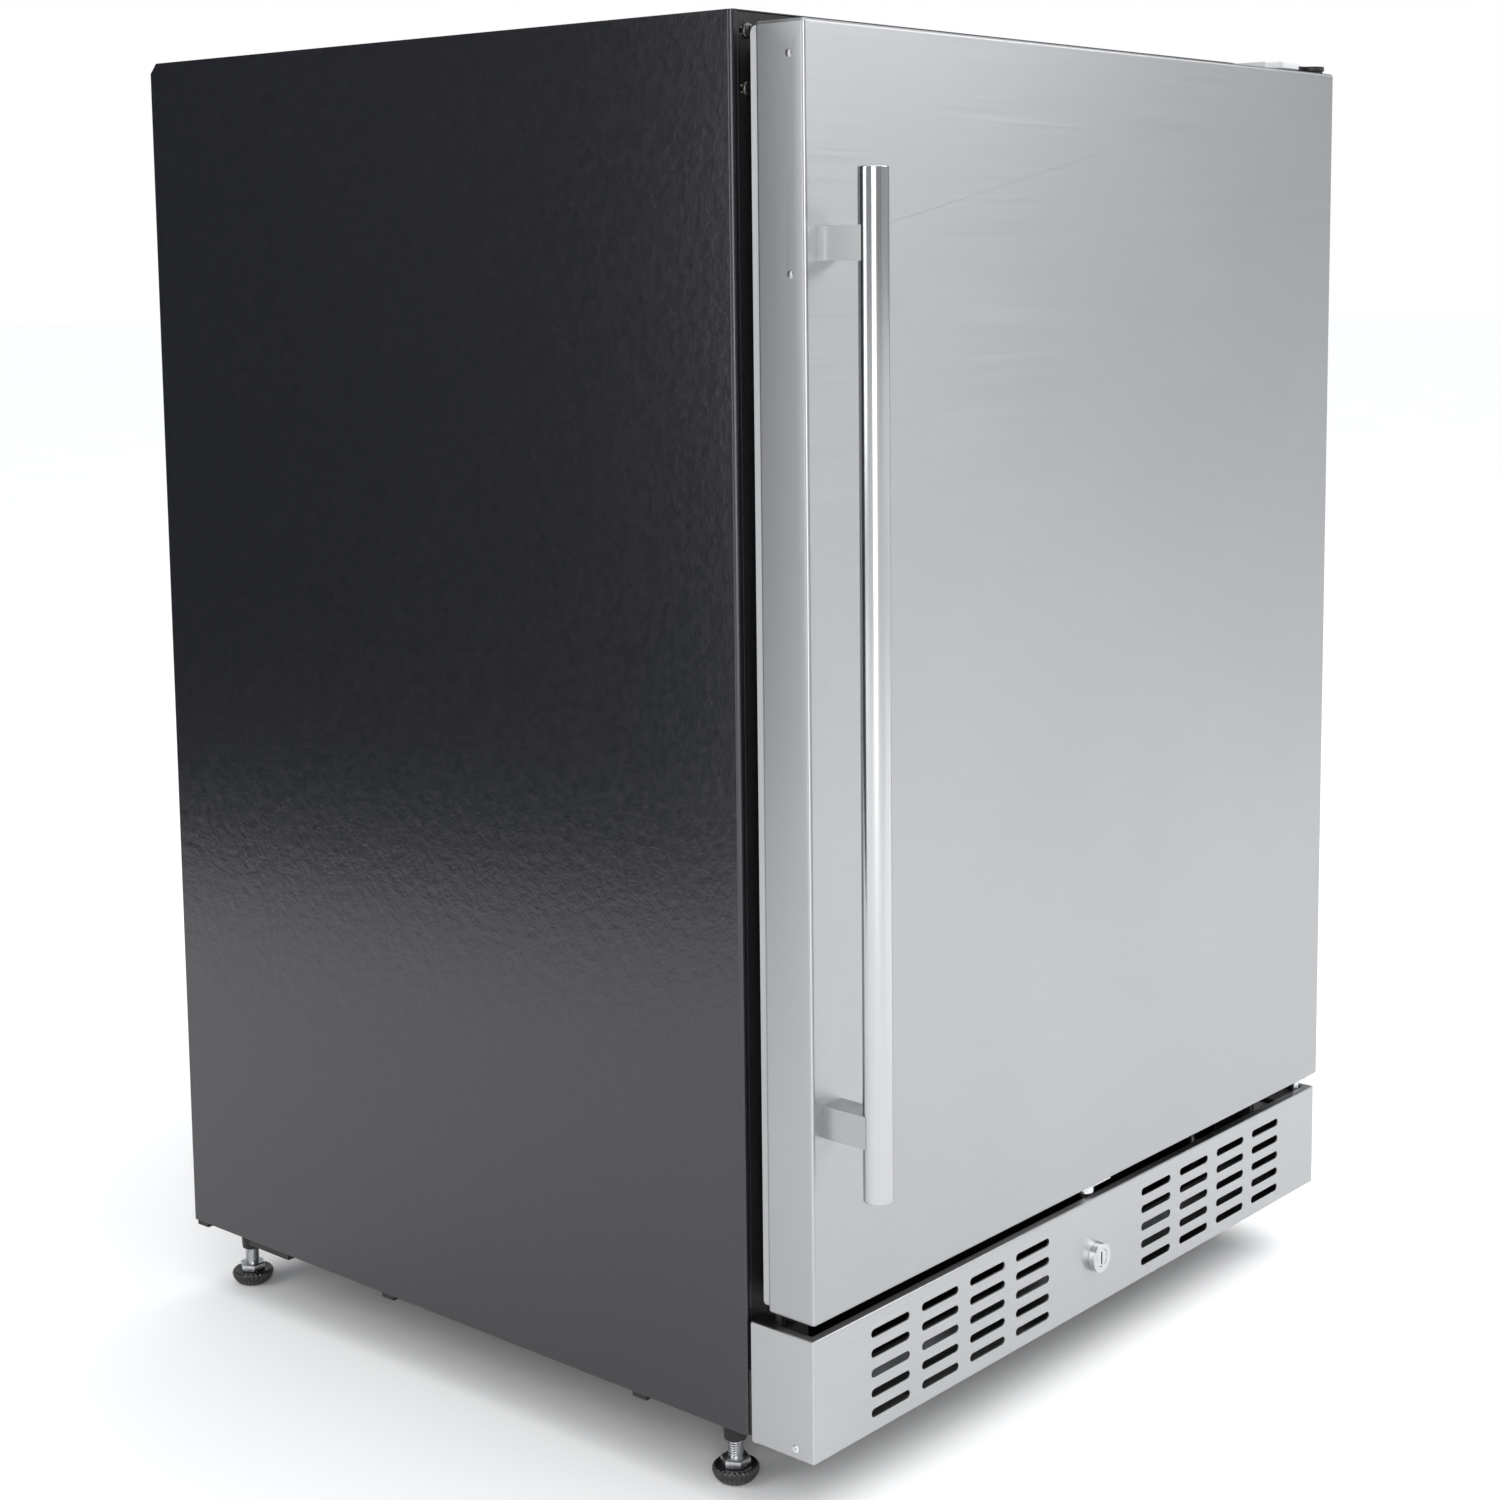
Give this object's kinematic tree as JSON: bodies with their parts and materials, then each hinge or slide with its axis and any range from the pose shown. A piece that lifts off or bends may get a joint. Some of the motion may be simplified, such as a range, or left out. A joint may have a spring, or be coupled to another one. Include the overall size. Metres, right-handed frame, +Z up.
{
  "type": "undercounter refrigerator",
  "caption": "Undercounter refrigerator with a brushed-steel hinged door, vertical bar handle, black painted cabinet, slotted lockable kick plate and levelling feet.",
  "frame": {"origin": "on the floor under the centre of the overall box, handle included", "axes": "+X towards the hinge side of the door, +Y from the door to the back, +Z up"},
  "size_m": [0.596, 0.6458, 0.894],
  "materials": {
    "black_paint": "satin",
    "black_steel": "matte",
    "stainless": "satin",
    "stainless_handle": "satin",
    "chrome_lock": "polished",
    "zinc_steel": "satin",
    "galvanised": "satin",
    "compressor_black": "satin",
    "copper": "satin",
    "fin_aluminium": "satin",
    "chrome_wire": "polished",
    "black_rubber": "matte",
    "liner_white": "satin",
    "cover_white": "satin",
    "light_grey_plastic": "satin",
    "black_plastic": "satin",
    "lens_plastic": "gloss",
    "foam": "matte"
  },
  "bodies": {
    "cabinet": {"left_side_panel": "black_paint", "right_side_panel": "black_paint", "top_panel": "black_paint", "back_panel": "black_steel", "rear_cover": "black_steel", "base_pan": "black_steel", "front_frame": "black_steel", "breaker_frame": "light_grey_plastic", "inner_liner": "liner_white", "foam_insulation": "foam", "machine_bay_wall": "galvanised", "compressor": "compressor_black", "compressor_grommets": "black_rubber", "start_relay_box": "black_plastic", "condenser_coil": "fin_aluminium", "condenser_fan_shroud": "black_plastic", "condenser_fan_motor": "black_plastic", "filter_drier": "copper", "refrigerant_lines": "copper", "drain_pan": "galvanised", "drain_tube": "light_grey_plastic", "mains_junction_box": "black_plastic", "cord_gland": "black_rubber", "evaporator_cover": "cover_white", "evaporator_coil": "fin_aluminium", "evaporator_fan_motor": "black_plastic", "evaporator_fan_grille": "cover_white", "shelf_pilasters": "galvanised", "shelf_lower": "chrome_wire", "shelf_middle": "chrome_wire", "shelf_upper": "chrome_wire", "light_housing": "cover_white", "light_lens": "lens_plastic", "control_box": "cover_white", "top_hinge_bracket": "black_steel", "hinge_cover": "light_grey_plastic", "bottom_hinge_bracket": "black_steel", "door_stop": "black_steel", "cabinet_screws": "black_steel", "kick_plate": "stainless", "lock_housing": "chrome_lock", "foot_brackets": "black_steel"},
    "door": {"door_skin": "stainless", "door_foam": "foam", "door_liner": "liner_white", "door_gasket": "black_rubber", "handle_tube": "stainless_handle", "handle_brackets": "stainless_handle", "door_bushes": "black_plastic", "lock_strike": "zinc_steel", "door_plugs": "zinc_steel"},
    "condenser_fan": {"condenser_fan": "black_plastic"},
    "evaporator_fan": {"evaporator_fan": "cover_white"},
    "thermostat_knob": {"thermostat_knob": "black_plastic"},
    "lock_plug": {"lock_plug": "chrome_lock"},
    "lock_bolt": {"lock_bolt": "zinc_steel"},
    "foot_front_left": {"foot_front_left": "black_rubber"},
    "foot_front_right": {"foot_front_right": "black_rubber"},
    "foot_rear_left": {"foot_rear_left": "black_rubber"},
    "foot_rear_right": {"foot_rear_right": "black_rubber"}
  },
  "joints": [
    {"name": "door_hinge", "type": "hinge", "parent": "cabinet", "child": "door", "pos_m": [0.2845, -0.2685, 0.5095], "axis": [0, 0, 1], "range_deg": [0, 105]},
    {"name": "lock_turn", "type": "hinge", "parent": "cabinet", "child": "lock_plug", "pos_m": [0, -0.278, 0.082], "axis": [0, 1, 0], "range_deg": [0, 90]},
    {"name": "lock_bolt_slide", "type": "slide", "parent": "cabinet", "child": "lock_bolt", "axis": [0, 0, 1], "range_m": [0, 0.0121]},
    {"name": "thermostat_turn", "type": "hinge", "parent": "cabinet", "child": "thermostat_knob", "pos_m": [0.055, -0.136, 0.831], "axis": [0, 1, 0], "range_deg": [0, 270]},
    {"name": "condenser_fan_spin", "type": "hinge", "parent": "cabinet", "child": "condenser_fan", "pos_m": [-0.185, 0.158, 0.162], "axis": [0, 1, 0], "continuous": true},
    {"name": "evaporator_fan_spin", "type": "hinge", "parent": "cabinet", "child": "evaporator_fan", "pos_m": [0, 0.24, 0.72], "axis": [0, 1, 0], "continuous": true},
    {"name": "foot_front_left_screw", "type": "slide", "parent": "cabinet", "child": "foot_front_left", "axis": [0, 0, 1], "range_m": [-0.015, 0.008]},
    {"name": "foot_front_right_screw", "type": "slide", "parent": "cabinet", "child": "foot_front_right", "axis": [0, 0, 1], "range_m": [-0.015, 0.008]},
    {"name": "foot_rear_left_screw", "type": "slide", "parent": "cabinet", "child": "foot_rear_left", "axis": [0, 0, 1], "range_m": [-0.015, 0.008]},
    {"name": "foot_rear_right_screw", "type": "slide", "parent": "cabinet", "child": "foot_rear_right", "axis": [0, 0, 1], "range_m": [-0.015, 0.008]}
  ],
  "couplings": [
    {"joint": "lock_bolt_slide", "follows": "lock_turn", "m_per_rad": 0.00764}
  ]
}
